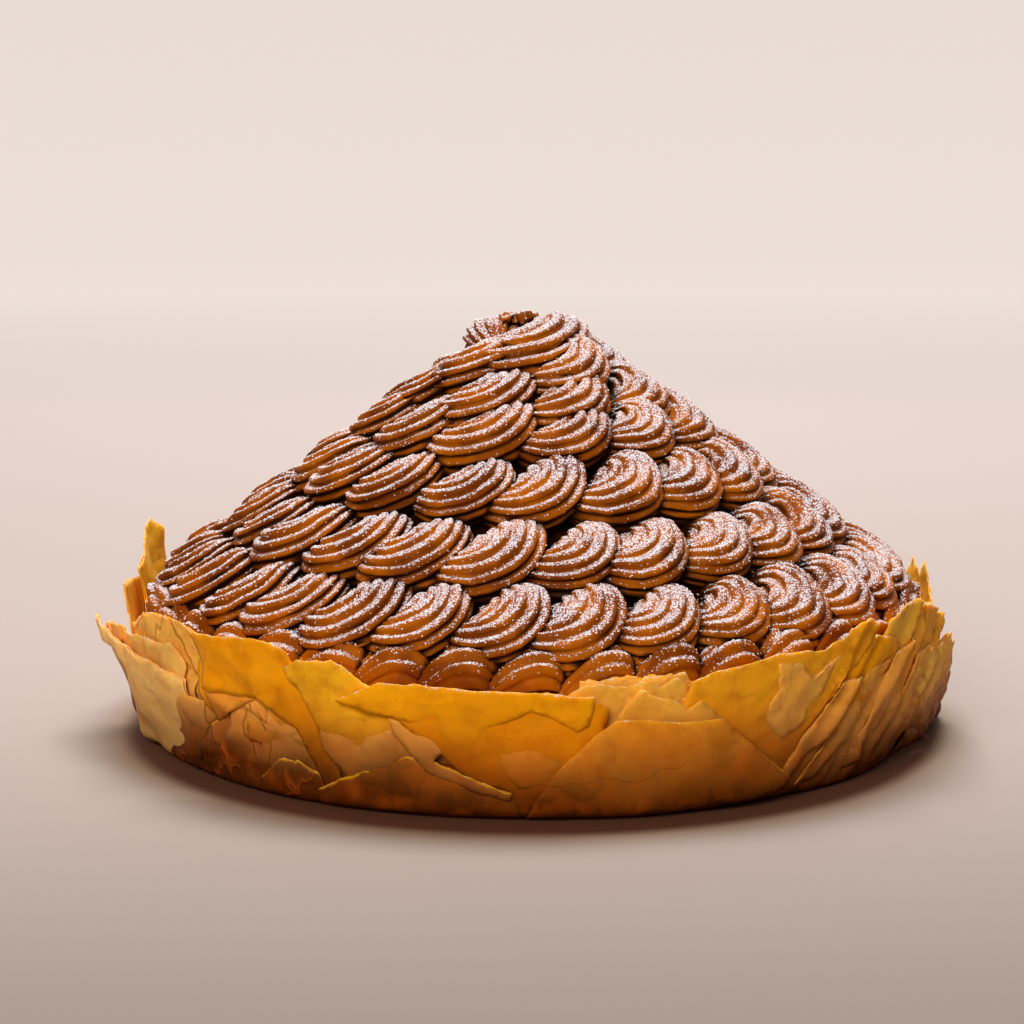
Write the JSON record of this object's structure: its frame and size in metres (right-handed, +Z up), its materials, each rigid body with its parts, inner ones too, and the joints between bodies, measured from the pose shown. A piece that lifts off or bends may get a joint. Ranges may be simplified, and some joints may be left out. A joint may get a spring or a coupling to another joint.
{
  "type": "mont blanc cake",
  "caption": "Round dessert: a low case of crisp folded pastry leaves holding a steep cone of chestnut cream piped in rings of ribbed shells, dusted with sugar.",
  "frame": {"origin": "middle of the flat base, on the axis of the cone", "axes": "+Z up along the axis of the cone; -Y towards the pictured front; +X to the right seen from the front"},
  "size_m": [0.2389, 0.2264, 0.1164],
  "materials": {
    "pastry": "crisp baked pastry leaves, yellow to orange brown, dull, lightly dusted",
    "cream": "smooth chestnut cream with a soft gloss",
    "sugar": "fine white icing sugar, matt"
  },
  "bodies": {
    "root": {"filo_case": "pastry", "chestnut_cream": "cream"}
  },
  "joints": []
}
